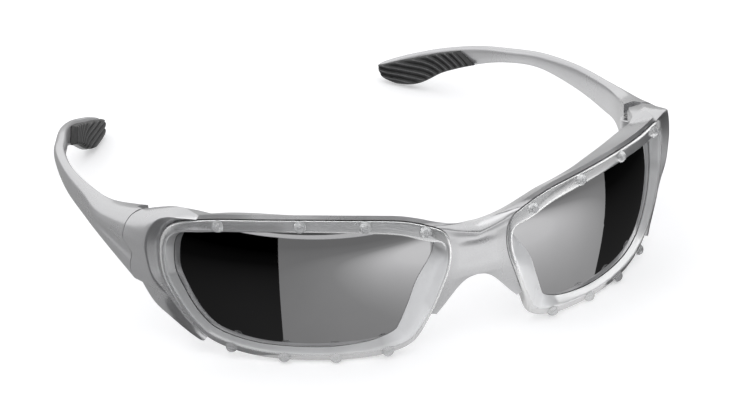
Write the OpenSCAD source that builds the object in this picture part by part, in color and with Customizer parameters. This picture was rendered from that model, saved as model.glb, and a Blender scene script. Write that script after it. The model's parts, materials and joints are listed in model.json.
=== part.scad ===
// Wraparound sport sunglasses with clear studded rims, mirror lenses and folding temples.
// Everything is drawn as worn, front towards -Y, and then leaned back so that it rests on
// the lower edges of the rims and on the ends of the temples. +X is the wearer's left.

/* [Front curve] */
// Radius of the sphere that the front face of each rim follows
face_r = 64.6; // [64:0.1:66]
// Distance of that sphere's centre from the middle of the front
curve_x = 12.35; // [11:0.05:14]
// Height of that sphere's centre
curve_z = 7.4; // [5:0.1:10]
// How far the rims reach in front of the drawing's zero line
nose_reach = 3.4; // [3:0.1:5]
// How much more than that sphere the front turns back beside the temples
side_turn = 0.5; // [0:0.1:1]

/* [Rims] */
// Width of a rim over its outer edge
rim_w = 60.7; // [58:0.1:62]
// Height of a rim over its outer edge
rim_h = 38.2; // [34:0.1:40]
// Distance of a rim from the middle of the front
nose_gap = 7.2; // [6:0.1:9]
// Level of the lowest point of a rim
rim_low = -22; // [-23:0.1:-20]
// Width of the front band of a rim under the brow
band_top = 2.9; // [2.6:0.1:3.4]
// Width of that band along the bottom
band_low = 2.4; // [2.2:0.1:3]
// Width of that band beside the temple
band_side = 2; // [1.8:0.1:2.4]
// Width of that band beside the nose
band_nose = 1.2; // [1:0.1:1.8]
// How far the inner wall of a rim slopes in beside the nose
nose_slope = 2; // [1:0.1:3.5]
// Wall of a rim outside the edge of its lens
rim_wall = 0.9; // [0.8:0.05:1.2]
// How far the back of a rim is tucked in under the brow
brow_tuck = 1.6; // [1:0.1:2]
// How far the outside of a rim bulges along the bottom
rim_belly = 1.3; // [0.8:0.1:1.6]
// Radius that rounds the front edges of a rim
rim_round = 0.7; // [0.3:0.05:0.9]

/* [Lenses] */
// How much smaller the radius of a lens's front surface is than that of the rim's sphere
lens_tighter = 4.5; // [3.6:0.1:5.1]
// Thickness of a lens
lens_t = 1.6; // [1:0.1:2.2]
// How far the lens curve's centre lies outside the rim curve's centre
lens_out = 0.8; // [0:0.1:1.5]
// How far the lens curve's centre lies below the rim curve's centre
lens_drop = 5.5; // [4:0.1:6]

/* [Studs] */
// Diameter of the domed head of a stud
stud_d = 2.9; // [2:0.1:3.2]
// Height of the head over the rim
stud_h = 1.3; // [0.8:0.1:1.4]
// Diameter of the shank of a stud
shank_d = 0.9; // [0.6:0.1:1]
// Length of the shank in the rim
shank_l = 0.8; // [0.6:0.05:1]
// Distance of the upper studs from the rim's outer edge
stud_in_top = 1.5; // [1.2:0.1:1.8]
// Distance of the lower studs from the rim's outer edge
stud_in_low = 1.2; // [0.8:0.1:1.4]

/* [Brow and bridge] */
// Rise of the brow over the upper edge of a rim
brow_rise = 1.1; // [0.6:0.1:1.6]
// Depth of the brow's upper side
brow_depth = 7.2; // [6.6:0.1:8]
// Fall of the brow's upper side towards the back
brow_fall = 3; // [2:0.1:3.6]
// How far the rims stand proud of the front frame
face_step = 0.7; // [0.4:0.1:1]
// Height of the top of the bridge
bridge_top = 8.8; // [8:0.1:10]
// Height of the nose arch
arch_top = -4.5; // [-6:0.1:-2]
// Thickness of the bridge from front to back
bridge_t = 5; // [3.5:0.1:6]
// Width of the ledge behind the rims
ledge_w = 2.6; // [2:0.1:3.2]
// Thickness of that ledge
ledge_t = 1.2; // [1:0.1:1.6]
// How far the shoulder in front of a temple stands out beside the rim
shoulder = 3.2; // [2.5:0.1:4]

/* [Temples] */
// Distance from the rim's outer side back to the joint between front and temple
seam_back = 9.12; // [8.6:0.01:11]
// How far a temple reaches back behind the joint
temple_l = 111.5; // [100:0.5:120]
// Height of a temple at the joint
root_h = 17.5; // [15:0.1:19]
// Thickness of a temple at the joint
root_t = 10.6; // [9.6:0.1:11.4]
// Height of a temple at its slimmest place
arm_h = 3.9; // [3.4:0.1:5.5]
// Thickness of a temple at its slimmest place
arm_t = 3; // [2.6:0.1:4]
// Height of the flat end of a temple
tip_h = 8.9; // [7:0.1:10]
// Thickness of the flat end of a temple
tip_t = 2.4; // [2:0.1:3]
// Depth of the groove along the outside of a temple
groove_d = 1.4; // [0.5:0.1:1.8]

/* [Temple pads] */
// Length of the rubber pad on the end of a temple
pad_l = 32; // [24:0.5:36]
// Thickness of the pad
pad_t = 1.3; // [1:0.1:2]
// Number of ribs on the pad
pad_ribs = 9; // [6:1:10]
// Height of the ribs
rib_h = 0.5; // [0.3:0.05:0.8]

/* [Hinges] */
// Distance of the hinge axis inside the rim's outer side
hinge_in = 3.5; // [3.2:0.1:3.9]
// Distance of the hinge axis behind the joint
hinge_back = 1.9; // [1.8:0.1:2.2]
// Diameter of the hinge knuckles
knuckle_d = 5; // [4.6:0.1:5.2]
// Height of the middle knuckle
tongue_h = 3.4; // [2.5:0.1:4]
// Height of each outer knuckle
fork_h = 2.8; // [2:0.1:3]
// Level of the middle of the hinge
hinge_z = 4.6; // [4:0.1:5.2]
// Diameter of the hinge screw
screw_d = 1.6; // [1.2:0.1:2]
// Diameter of the head of the screw
screw_head_d = 3; // [2.4:0.1:3.4]

/* [Fits] */
// Gap between a rim and what holds it, and between a lens and its rim
seat_gap = 0.1; // [0.05:0.01:0.15]
// Gap around a shank or a screw
pin_gap = 0.05; // [0.03:0.01:0.08]
// Gap between the front and a temple
joint_gap = 0.35; // [0.3:0.05:0.5]

/* [Hidden] */
$fn = 64;
SILVER = "#b9bbbf";
CLEAR = "#dfe4e8";
MIRROR = "#3a3b40";
RUBBER = "#4a4b4e";
STEEL = "#8d9096";

// Centre of the rim's sphere, and of the lens's sphere
centre = [curve_x, face_r - nose_reach, curve_z];
lens_centre = centre + [lens_out, 0, -lens_drop];
lens_r = face_r - lens_tighter;

function unit(v) = v / norm(v);
function mix(a, b, t) = a + (b - a) * t;
function clamp(t) = max(0, min(1, t));
function smooth(t) = let (c = clamp(t)) c * c * (3 - 2 * c);
function bend(a, b, c, t) = mix(mix(a, b, t), mix(b, c, t), t);
function curl(a, b, c, d, t) = mix(bend(a, b, c, t), bend(b, c, d, t), t);

// Point at t on a smooth curve through a list of points, where t counts the points
function through(p, t, closed = false) =
    let (n = len(p), i = closed ? floor(t) : min(floor(t), n - 2), f = t - i)
    let (at = function (k) closed ? p[(k + n) % n] : p[max(0, min(n - 1, k))])
    let (a = at(i - 1), b = at(i), c = at(i + 1), d = at(i + 2))
    0.5 * (2 * b + (c - a) * f + (2 * a - 5 * b + 4 * c - d) * f * f
        + (3 * b - 3 * c + d - a) * f * f * f);

// Solid through a row of sections; each end is closed from the middle of its section
module loft(sections, ring = false) {
    n = len(sections);
    m = len(sections[0]);
    middle = function (s) [for (k = [0:2]) [for (p = s) p[k]] * [for (p = s) 1 / m]];
    body = [for (s = sections) each s];
    sides = [
        for (i = [0 : n - (ring ? 1 : 2)], j = [0 : m - 1])
        let (a = i * m + j, b = i * m + (j + 1) % m, c = (a + m) % (n * m), d = (b + m) % (n * m))
        each [[a, b, d], [a, d, c]]
    ];
    first = [for (j = [0 : m - 1]) [n * m, (j + 1) % m, j]];
    last = [for (j = [0 : m - 1]) [n * m + 1, (n - 1) * m + j, (n - 1) * m + (j + 1) % m]];
    if (ring) polyhedron(body, sides, convexity = 10);
    else polyhedron(
        concat(body, [middle(sections[0]), middle(sections[n - 1])]),
        concat(sides, first, last), convexity = 10
    );
}

// Outer edge of a rim, seen from the front, as shares of its width and height.
// It starts low beside the nose and goes up, over the brow, and back along the bottom.
RIM_SHAPE = [
    [0.08, 0.25], [0.04, 0.41], [0.005, 0.57], [0, 0.71], [0.025, 0.80], [0.085, 0.86],
    [0.195, 0.925], [0.36, 0.968], [0.555, 0.997], [0.755, 1], [0.87, 0.98], [0.955, 0.93],
    [0.995, 0.81], [0.997, 0.60], [0.962, 0.425], [0.907, 0.255], [0.837, 0.127],
    [0.715, 0.05], [0.557, 0.015], [0.392, 0], [0.242, 0.006], [0.138, 0.07]
];
RIM_N = len(RIM_SHAPE);

// Point of the rim's edge on the sphere, and the direction from there to the rim's inside
function edge(u) =
    let (s = through(RIM_SHAPE, (u + RIM_N) % RIM_N, true))
    let (x = nose_gap + s.x * rim_w, z = rim_low + s.y * rim_h)
    let (dx = x - centre.x, dz = z - centre.z)
    [x, centre.y - sqrt(face_r * face_r - dx * dx - dz * dz), z];
TURN_FROM = nose_gap + 0.7 * rim_w;
TURN_OVER = 0.28 * rim_w;
function inward(u) =
    let (step = 0.05)
    unit(cross(edge(u + step) - edge(u - step), unit(edge(u) - centre)));

// How far the front turns back from the sphere in a direction from its centre
function turn_back(out) =
    side_turn * (max(0, centre.x + out.x * face_r - TURN_FROM) / TURN_OVER) ^ 2;

// Point a inwards from the rim's edge along the sphere and b out from its surface
function on_face(u, a, b) =
    let (out = unit(edge(u) + a * inward(u) - centre))
    centre + out * (face_r + b - turn_back(out));

// Height of a lens surface of radius r over the rim's face in the same direction
function lens_b(u, a, r) =
    let (out = unit(edge(u) + a * inward(u) - centre), shift = lens_centre - centre)
    out * shift + sqrt((out * shift) ^ 2 - shift * shift + r * r) - face_r + turn_back(out);

// Width of the front band at each point of the outline, and slope of the wall inside it
BANDS = [
    each [for (i = [0:2]) band_nose], band_nose * 1.3, band_top, band_top * 1.25,
    band_top * 1.15, band_top * 1.05, each [for (i = [8:10]) band_top], mix(band_top, band_side, 0.5),
    each [for (i = [12:15]) band_side], each [for (i = [16:20]) band_low], mix(band_low, band_nose, 0.4)
];
function band_at(u) = through(BANDS, (u + RIM_N) % RIM_N, true);
function hump(u, at, reach) = smooth(1 - abs(u - at) / reach);
LEAST_SLOPE = 0.3;
TOP_SLOPE = 1.1;
function slope_at(u) =
    LEAST_SLOPE + nose_slope * (hump(u, 1.3, 3) + hump(u, 1.3 + RIM_N, 3))
    + TOP_SLOPE * smooth((u - 3.5) / 2) * smooth((12 - u) / 2);

// Depth of the back of a rim, which reaches a little behind the lens, how far its outer wall
// leans in under the brow, and how far that wall bulges out along the bottom
BEHIND_LENS = 0.3;
function rim_back(u) = lens_b(u, rim_wall, lens_r - lens_t) - BEHIND_LENS;
function rim_tuck(u) = brow_tuck * smooth((u - 3) / 2) * smooth((11.6 - u) / 2);
function rim_bulge(u) = rim_belly * smooth((u - 15.9) / 1.2) * smooth((21.9 - u) / 1.2);

function rim_section(u) =
    let (band = band_at(u), r = min(rim_round, band * 0.4), foot = band + slope_at(u))
    let (rear = rim_back(u), tuck = rim_tuck(u), lip = rim_wall + tuck)
    [
        on_face(u, lip, rear),
        on_face(u, lip, lens_b(u, lip, lens_r) + seat_gap),
        on_face(u, foot, lens_b(u, foot, lens_r) + seat_gap),
        on_face(u, band, -r),
        on_face(u, band - 0.3 * r, -0.3 * r),
        on_face(u, band - r, 0),
        on_face(u, r, 0),
        on_face(u, 0.3 * r, -0.3 * r),
        on_face(u, 0, -r),
        on_face(u, 0.5 * tuck - rim_bulge(u), 0.5 * rear),
        on_face(u, tuck, rear)
    ];

RIM_STEPS = 66;
rim_stations = [for (i = [0 : RIM_STEPS - 1]) i * RIM_N / RIM_STEPS];

// Places of the studs, counted along the points of the rim's outline
STUDS_TOP = [5.15, 6.85, 8.03, 9.5];
STUDS_LOW = [16.5, 17.67, 18.75, 20.05];
studs = concat(
    [for (u = STUDS_TOP) [u, stud_in_top]],
    [for (u = STUDS_LOW) [u, stud_in_low]]
);

// Stands what follows on the rim's face at a stud, with +Z out of the face
module at_stud(s) {
    place = on_face(s[0], s[1], 0);
    out = unit(place - centre);
    translate(place)
        rotate([0, acos(out.z), atan2(out.y, out.x)])
            children();
}

module rim() {
    color(CLEAR)
    difference() {
        loft([for (u = rim_stations) rim_section(u)], ring = true);
        for (s = studs)
            at_stud(s)
                translate([0, 0, -shank_l - pin_gap])
                    cylinder(d = shank_d + 2 * pin_gap, h = shank_l + 2);
    }
}

module rim_studs() {
    joined = 0.3;
    color(CLEAR)
    for (s = studs)
        at_stud(s) {
            intersection() {
                translate([0, 0, pin_gap + stud_h - DOME]) sphere(DOME);
                translate([0, 0, pin_gap]) cylinder(d = stud_d + 1, h = stud_h + 1);
            }
            translate([0, 0, -shank_l]) cylinder(d = shank_d, h = shank_l + joined);
        }
}

module lens() {
    far = face_r + 5;
    rays = [
        for (u = rim_stations)
        centre + unit(on_face(u, rim_wall + rim_tuck(u) + seat_gap, 0) - centre) * far
    ];
    n = len(rays);
    middle = [for (k = [0:2]) [for (p = rays) p[k]] * [for (p = rays) 1 / n]];
    color(MIRROR)
    intersection() {
        translate(lens_centre)
        difference() {
            sphere(lens_r, $fn = 180);
            sphere(lens_r - lens_t, $fn = 180);
        }
        polyhedron(
            concat(rays, [centre, centre + 1.05 * (middle - centre)]),
            [for (i = [0 : n - 1]) each [[n, (i + 1) % n, i], [n + 1, i, (i + 1) % n]]]
        );
    }
}

// Section of a temple at the joint, as shares of its half thickness and half height.
// The outer side comes first, from the top down, and then the inner side from the bottom up.
HALF_W = root_t / 2;
HALF_H = root_h / 2;
ROOT_OUT = [
    [-0.09, 1], [0.36, 0.91], [0.65, 0.75], [0.81, 0.56], [0.9, 0.28],
    [0.85 - groove_d / HALF_W, -0.166], [0.68, -0.43], [0.7, -0.657], [0.58, -0.9], [0.28, -1]
];
ROOT_IN = [
    [-0.66, -0.98], [-0.9, -0.9], [-0.99, -0.71], [-1, -0.486], [-1, -0.2],
    [-1, 0.2], [-1, 0.486], [-1, 0.71], [-0.98, 0.87], [-0.9, 0.96]
];
ROOT = concat(ROOT_OUT, ROOT_IN);

// The joint follows the rim's outer side, which is at this place along its outline. Points of
// the end piece and the temple are shares of the way out to there, of the distance from there
// back to the joint, taken forward from the joint, and of the joint's height.
RIM_SIDE = 12.5;
RIM_OUT = nose_gap + rim_w;
seam_y = edge(RIM_SIDE).y + seam_back;
hinge_x = RIM_OUT - hinge_in;
function side_point(x, y, z) = [x * RIM_OUT, seam_y - y * seam_back, z * root_h];
ROOT_MIDDLE = side_point(1.001, 0, 0.271);

// Slim section of a temple at the same points
OVAL = [
    for (a = [86, 66, 48, 30, 13, -3, -20, -38, -58, -80])
    [cos(a) ^ 0.7, sign(a) * abs(sin(a)) ^ 0.8]
];
FLAT = [
    for (a = [-80, -62, -46, -30, -12, 12, 30, 46, 62, 80])
    [-cos(a) ^ 0.45, sign(a) * abs(sin(a)) ^ 0.8]
];
SLIM = concat(OVAL, FLAT);

function root_point(p) = ROOT_MIDDLE + [p.x * HALF_W, 0, p.y * HALF_H];

// Half of the front frame: a row of stations along the rim, from the end of the nose wall up
// beside the nose, over the brow, back to the temple joint and down to the tip under the rim.
// Each has its place along the rim, its outer front edge, its outer rear edge, and how far the
// shoulder is formed there.
ARCH = [
    [0, arch_top], [0.58 * nose_gap, arch_top], [0.9 * nose_gap, 2 * arch_top],
    [1.46 * nose_gap, 0.577 * rim_low]
];
arch_rows = [
    for (t = [1, 0.8, 0.6, 0.4, 0.2])
    let (p = curl(ARCH[0], ARCH[1], ARCH[2], ARCH[3], t))
    let (front = [p.x, mix(-0.2, 0.04, t) * bridge_t, p.y])
    [1.35 * (1 - t), front, front + [0.16 * t, 1, 0] * bridge_t, 0]
];
// Middle of the bridge from below: place along the rim, level as a share, and how far the
// front stands out as a share of the thickness
BRIDGE = [
    [1.35, 0, 0.2], [1.65, 0.18, 0.26], [2.1, 0.37, 0.25], [2.6, 0.56, 0.24], [3, 0.7, 0.25],
    [3.4, 0.765, 0.28], [3.75, 0.81, 0.48], [4.1, 0.87, 0.6], [4.45, 0.94, 0.56], [4.75, 1, 0.34]
];
BRIDGE_FALL = 0.32 * bridge_t;
bridge_rows = [
    for (r = BRIDGE)
    let (z = mix(arch_top, bridge_top, r[1]))
    [r[0], [0, -r[2] * bridge_t, z], [0, 0.76 * bridge_t, z - BRIDGE_FALL * r[1]], 0]
];

function brow_edge(u) = on_face(u, -brow_rise, -face_step - seat_gap);
// Depth and fall of the brow from the nose to the temple, as shares of the largest
BROW_DEPTH = [0.93, 0.9, 0.83, 1, 0.97, 0.85, 0.8];
BROW_FALL = [1, 1.05, 0.97, 1, 0.77, 0.65, 0.6];
function brow_rear(u, e) =
    let (back = unit([centre.x - e.x, centre.y - e.y, 0]), t = u - 5)
    e + back * brow_depth * through(BROW_DEPTH, t) - [0, 0, brow_fall * through(BROW_FALL, t)];
RISE_FROM = [0, -0.34 * bridge_t, bridge_top];
RISE_BY = [0.83 * nose_gap, -0.42 * bridge_t, 1.09 * bridge_top];
RISE_TO = 5.5;
rise_rows = [
    for (t = [0.22, 0.42, 0.6, 0.8])
    let (u = mix(4.75, RISE_TO, t * t), e = bend(RISE_FROM, RISE_BY, brow_edge(RISE_TO), t))
    let (rear = e + [0, mix(bridge_t, 0.91 * brow_depth, t), -mix(BRIDGE_FALL, brow_fall, t)])
    [u, e, rear, 0]
];
BROW_END = 10.1;
brow_rows = [
    for (i = [0:8])
    let (u = mix(RISE_TO, BROW_END, i / 8), e = brow_edge(u))
    [u, e, brow_rear(u, e), 0]
];
// Crest of the end piece from the brow back to the joint, and the rear edge under it
CREST = [
    brow_edge(BROW_END), side_point(0.897, 1.38, 0.937), side_point(0.92, 0.965, 0.914),
    side_point(0.954, 0.482, 0.851), root_point(ROOT_OUT[0])
];
CREST_REAR = [
    brow_rear(BROW_END, brow_edge(BROW_END)), side_point(0.848, 1.24, 0.846),
    side_point(0.873, 0.877, 0.834), side_point(0.897, 0.439, 0.806), root_point(ROOT_IN[9])
];
crest_rows = [
    for (i = [1:4])
    [mix(BROW_END, 11.1, i / 4), CREST[i], CREST_REAR[i], through([0, 0.3, 0.55, 0.8, 1], i)]
];
joint_rows = [
    for (i = [1:9])
    [
        mix(11.1, 13.9, i / 9), root_point(ROOT_OUT[i]), root_point(ROOT_IN[9 - i]),
        through([1, 1, 1, 1, 0.97, 0.9, 0.8, 0.68, 0.55, 0.45], i)
    ]
];
// Lower edge of the end piece from the joint to the tip under the rim
LOWER = [
    root_point(ROOT_OUT[9]), side_point(1.001, 0.471, -0.48), side_point(0.96, 0.833, -0.68),
    side_point(0.922, 1.162, -0.846), side_point(0.891, 1.458, -0.949),
    side_point(0.878, 1.513, -0.949)
];
lower_rows = [
    for (i = [1:5])
    let (u = mix(13.9, 15.75, i / 5), e = LOWER[i], rear = rim_back(u) - seat_gap - ledge_t)
    let (wide = mix(e, on_face(u, ledge_w, rear), 0.5) + [0, 0.6 * ledge_t, 0])
    [u, e, mix(wide, on_face(u, -ledge_t, rear), smooth((i - 1) / 3)), mix(0.45, 0.08, i / 5)]
];
frame_rows = concat(
    arch_rows, bridge_rows, rise_rows, brow_rows, crest_rows, joint_rows, lower_rows
);

function frame_section(row) =
    let (u = row[0], e = row[1], eb = row[2], k = row[3])
    let (rear = rim_back(u) - seat_gap, tuck = rim_tuck(u), sharp = 0.25 + 0.65 * smooth(2 * k - 0.6))
    let (p = on_face(u, -seat_gap, -face_step))
    let (c = k == 0 ? mix(p, e, 0.5) : on_face(u, -0.62 * shoulder * k, 0.78 * shoulder * k))
    let (inner = on_face(u, tuck + ledge_w, rear - ledge_t), s = mix(0.5, 0.88, sharp))
    [
        inner,
        on_face(u, tuck + ledge_w, rear),
        on_face(u, tuck - seat_gap, rear),
        p,
        mix(p, c, s),
        mix(bend(p, c, e, 0.5), c, sharp),
        mix(e, c, s),
        e,
        mix(e, eb, 0.5),
        eb,
        mix(eb, inner, 0.35),
        mix(eb, inner, 0.7)
    ];

AXIS = [hinge_x, seam_y + hinge_back];
FORK_IN = tongue_h / 2 + joint_gap;
FORK_OUT = FORK_IN + fork_h;
SWEEP = knuckle_d / 2 + joint_gap;

// Stands what follows on the hinge axis, level with the middle of the hinge
module on_axis(z = 0) {
    translate([AXIS.x, AXIS.y, hinge_z + z]) children();
}

module front_half() {
    web = 3;
    difference() {
        loft([for (r = frame_rows) frame_section(r)]);
        on_axis(-2 * root_h) cylinder(r = SWEEP, h = 4 * root_h);
    }
    on_axis(-tongue_h / 2) cylinder(d = knuckle_d, h = tongue_h);
    on_axis(-tongue_h / 2)
        translate([-knuckle_d / 2 + 0.2, -hinge_back - web, 0])
            cube([knuckle_d - 0.4, hinge_back + web, tongue_h]);
}

module front_frame() {
    color(SILVER)
    difference() {
        union() {
            front_half();
            mirror([1, 0, 0]) front_half();
        }
        for (side = [0, 1])
            mirror([side, 0, 0])
                on_axis(-tongue_h)
                    cylinder(d = screw_d + 2 * pin_gap, h = 2 * tongue_h);
    }
}

// Middle line of a temple from the joint to its end, as side points with their place along
// the temple between
TEMPLE_PATH = [
    [1.001, 0, 0.271], [1.056, 0.138, 0.36], [1.066, 0.247, 0.394], [1.063, 0.39, 0.449],
    [1.027, 0.528, 0.491], [0.972, 0.631, 0.44], [0.909, 0.738, 0.314], [0.823, 0.849, 0.097],
    [0.735, 0.925, -0.126], [0.648, 1, -0.211]
];
TEMPLE_H = [
    root_h, mix(arm_h, root_h, 0.39), mix(arm_h, root_h, 0.28), mix(arm_h, root_h, 0.17),
    mix(arm_h, root_h, 0.02), arm_h, mix(arm_h, tip_h, 0.26), mix(arm_h, tip_h, 0.6), tip_h,
    0.58 * tip_h
];
TEMPLE_T = [
    root_t, mix(arm_t, root_t, 0.43), mix(arm_t, root_t, 0.12), arm_t, arm_t, arm_t,
    mix(arm_t, tip_t, 0.7), tip_t, tip_t, tip_t
];
PATH_N = len(TEMPLE_PATH) - 1;

function path_point(t) =
    let (p = through(TEMPLE_PATH, t))
    side_point(p.x, 0, p.z) + [0, joint_gap + p.y * temple_l, 0];
function path_along(t) =
    let (step = 0.05, way = path_point(min(PATH_N, t + step)) - path_point(max(0, t - step)))
    unit(mix([0, 1, 0], unit(way), smooth(t / 0.8)));

// Point of a temple at t, w out from its middle line and v up from it
function at_temple(t, w, v) =
    let (along = path_along(t), out = unit(cross(along, [0, 0, 1])), up = cross(out, along))
    path_point(t) + w * out + v * up;

TIP_ROUND = 0.45;
function tip_share(t) = let (k = max(0, (t - PATH_N + TIP_ROUND) / TIP_ROUND)) sqrt(1 - 0.98 * k * k);
function temple_section(t) =
    let (h = through(TEMPLE_H, t) / 2 * tip_share(t), w = through(TEMPLE_T, t) / 2)
    let (slim = smooth((t - 0.4) / 3.6), end = mix(1, tip_share(t), 0.5))
    [
        for (i = [len(ROOT) - 1 : -1 : 0])
        let (p = mix(ROOT[i], SLIM[i], slim))
        at_temple(t, p.x * w * end, p.y * h)
    ];

TEMPLE_STEPS = 30;
temple_stations = concat(
    [0, 0.12],
    [for (i = [1 : TEMPLE_STEPS - 1]) (PATH_N - TIP_ROUND) * i / TEMPLE_STEPS],
    [for (k = [0, 0.35, 0.6, 0.8, 0.92, 1]) PATH_N + TIP_ROUND * (k - 1)]
);

module temple() {
    notch = [hinge_x + knuckle_d / 2 + 0.4, AXIS.y + knuckle_d / 2 + 0.3];
    far = 20;
    color(SILVER)
    difference() {
        union() {
            loft([for (t = temple_stations) temple_section(t)]);
            for (z = [FORK_IN, -FORK_OUT])
                on_axis(z) cylinder(d = knuckle_d, h = fork_h);
        }
        on_axis(-FORK_IN) {
            cylinder(r = SWEEP, h = 2 * FORK_IN);
            translate([-far, -far, 0]) cube([far + SWEEP, far, 2 * FORK_IN]);
            translate([-far, -0.1, 0]) cube([far, SWEEP + 0.1, 2 * FORK_IN]);
        }
        on_axis(FORK_OUT) {
            translate([-far, -far, 0]) cube([far + notch.x - AXIS.x, far + notch.y - AXIS.y, far]);
        }
        on_axis(-far) cylinder(d = screw_d + 2 * pin_gap, h = 2 * far);
    }
}

module hinge_screw() {
    head_h = 0.8;
    slot = 0.4;
    color(STEEL)
    difference() {
        union() {
            on_axis(-FORK_OUT) cylinder(d = screw_d, h = 2 * FORK_OUT + joint_gap + 0.1);
            on_axis(FORK_OUT + joint_gap) cylinder(d = screw_head_d, h = head_h);
        }
        on_axis(FORK_OUT + joint_gap + head_h - slot)
            translate([-screw_head_d, -slot / 2, 0])
                cube([2 * screw_head_d, slot, 1]);
    }
}

// Rubber pad on the inner side of a temple's end, with slanting ribs across it
PAD_FROM = PATH_N * (1 - 1.07 * pad_l / temple_l);
PAD_TO = PATH_N - 0.12;
PAD_LEAN = 0.07;
function pad_section(k, rib) =
    let (t = mix(PAD_FROM, PAD_TO, k), lean = PAD_LEAN * (1 - k))
    let (half = (through(TEMPLE_H, t) / 2 - 0.25) * tip_share(t), wide = mix(1, tip_share(t), 0.5))
    let (back = -through(TEMPLE_T, t) / 2 * wide - seat_gap, front = back - pad_t - rib * rib_h)
    let (edge = back - 0.5 * pad_t)
    [
        for (p = [
            [edge, 0.84], [front, 0.62], [front, 0.2], [front, -0.26], [front, -0.74],
            [edge, -1], [back, -1], [back, 0], [back, 0.84]
        ])
        at_temple(min(PATH_N, t + lean * p[1] * half), p[0], p[1] * half)
    ];
pad_sections = concat(
    [
        for (i = [0 : pad_ribs - 1], c = [[0.1, 0], [0.35, 1], [0.62, 1], [0.87, 0]])
        pad_section((i + c[0]) / pad_ribs, c[1])
    ],
    [pad_section(1, 0)]
);

module temple_pad() {
    color(RUBBER) loft(pad_sections);
}

// The glasses rest on the rims and on the ends of the temples: how far they lean back for that
ring_points = [for (u = rim_stations) each rim_section(u)];
temple_points = concat(
    [for (t = temple_stations) each temple_section(t)],
    [for (s = pad_sections) each s]
);
function low(points, a) = min([for (p = points) p.z * cos(a) - p.y * sin(a)]);
function lean_from(a, steps) =
    steps == 0 ? a
    : lean_from(a + atan2(low(temple_points, a) - low(ring_points, a), 1.2 * temple_l), steps - 1);
LEAN = lean_from(6, 5);
FLOOR = min(low(ring_points, LEAN), low(temple_points, LEAN));
DOME = (stud_d * stud_d / 4 + stud_h * stud_h) / (2 * stud_h);
dome_centres = [
    for (s = studs)
    let (place = on_face(s[0], s[1], 0))
    place + unit(place - centre) * (pin_gap + stud_h - DOME)
];
function back_of(p) = p.y * cos(LEAN) + p.z * sin(LEAN);
FRONT = min([for (p = dome_centres) back_of(p)]) - DOME;
REAR = max([for (p = temple_points) back_of(p)]);

module seated() {
    translate([0, -(FRONT + REAR) / 2, -FLOOR])
        rotate([-LEAN, 0, 0])
            children();
}

module other_side() {
    mirror([1, 0, 0]) children();
}

seated() front_frame();
seated() other_side() rim();  // rim_right
seated() rim();  // rim_left
seated() other_side() rim_studs();  // rim_studs_right
seated() rim_studs();  // rim_studs_left
seated() other_side() lens();  // lens_right
seated() lens();  // lens_left
seated() other_side() temple();  // temple_right
seated() temple();  // temple_left
seated() other_side() temple_pad();  // temple_pad_right
seated() temple_pad();  // temple_pad_left
seated() other_side() hinge_screw();  // hinge_screw_right
seated() hinge_screw();  // hinge_screw_left
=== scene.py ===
"""Looks for wraparound sunglasses with clear studded rims and mirror lenses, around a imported
CAD part.

Shapes are worked out in millimetres as the glasses are worn, front towards -Y and the wearer's
left towards +X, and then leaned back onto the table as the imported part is. Along a rim, u counts
the points of its outline. Along a temple, t counts the points of its path.
"""
import json
import math

import bpy
import numpy as np
from mathutils import Matrix, Vector


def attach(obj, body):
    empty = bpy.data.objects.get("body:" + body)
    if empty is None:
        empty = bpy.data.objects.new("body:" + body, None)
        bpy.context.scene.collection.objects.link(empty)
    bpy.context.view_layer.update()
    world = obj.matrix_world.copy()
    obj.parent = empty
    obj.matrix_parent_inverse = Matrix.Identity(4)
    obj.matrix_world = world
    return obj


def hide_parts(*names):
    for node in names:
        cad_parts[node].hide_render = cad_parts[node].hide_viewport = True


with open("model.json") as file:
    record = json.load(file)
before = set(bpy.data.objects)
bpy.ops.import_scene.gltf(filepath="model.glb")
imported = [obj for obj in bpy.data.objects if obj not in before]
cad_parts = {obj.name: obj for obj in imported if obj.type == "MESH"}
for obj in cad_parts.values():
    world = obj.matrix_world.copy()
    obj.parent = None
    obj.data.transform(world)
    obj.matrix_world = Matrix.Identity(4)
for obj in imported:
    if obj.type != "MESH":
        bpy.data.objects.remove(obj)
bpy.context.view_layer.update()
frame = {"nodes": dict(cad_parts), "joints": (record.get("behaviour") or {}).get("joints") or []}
scene = bpy.context.scene

# Front curve, in millimetres like all the sizes below: the sphere of the rims' front faces
FACE_R = 64.6
CURVE_X = 12.35         # distance of its centre from the middle of the front
CURVE_Z = 7.4           # height of its centre
NOSE_REACH = 3.4        # how far the rims reach in front of the zero line
SIDE_TURN = 0.5         # how much more the front turns back beside the temples

# Rims
RIM_W = 60.7
RIM_H = 38.2
NOSE_GAP = 7.2          # distance from the middle of the front
RIM_LOW = -22.0         # level of the lowest point
BAND_TOP = 2.9          # width of the clear front band under the brow
BAND_LOW = 2.4
BAND_SIDE = 2.0
BAND_NOSE = 1.2
LEAST_SLOPE = 0.3       # how far the wall inside the band slopes in everywhere
NOSE_SLOPE = 4.4        # how much more it does beside the nose
TOP_SLOPE = 0.5         # and under the brow
RIM_WALL = 0.9          # wall outside the lens
BROW_TUCK = 1.6         # how far the back is tucked in under the brow
RIM_BELLY = 1.3         # how far the outside bulges along the bottom
RIM_ROUND = 0.7         # radius of the front edges
BEHIND_LENS = 0.3       # how far the back reaches behind the lens

# Lenses
LENS_R = FACE_R - 4.5
LENS_T = 1.6
LENS_OUT = 0.8          # how far their sphere's centre lies outside the rim sphere's centre
LENS_DROP = 5.5         # how far it lies below that
LENS_TUCK = 0.3         # share of the rim's tuck that the front edge follows, under the band

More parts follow.
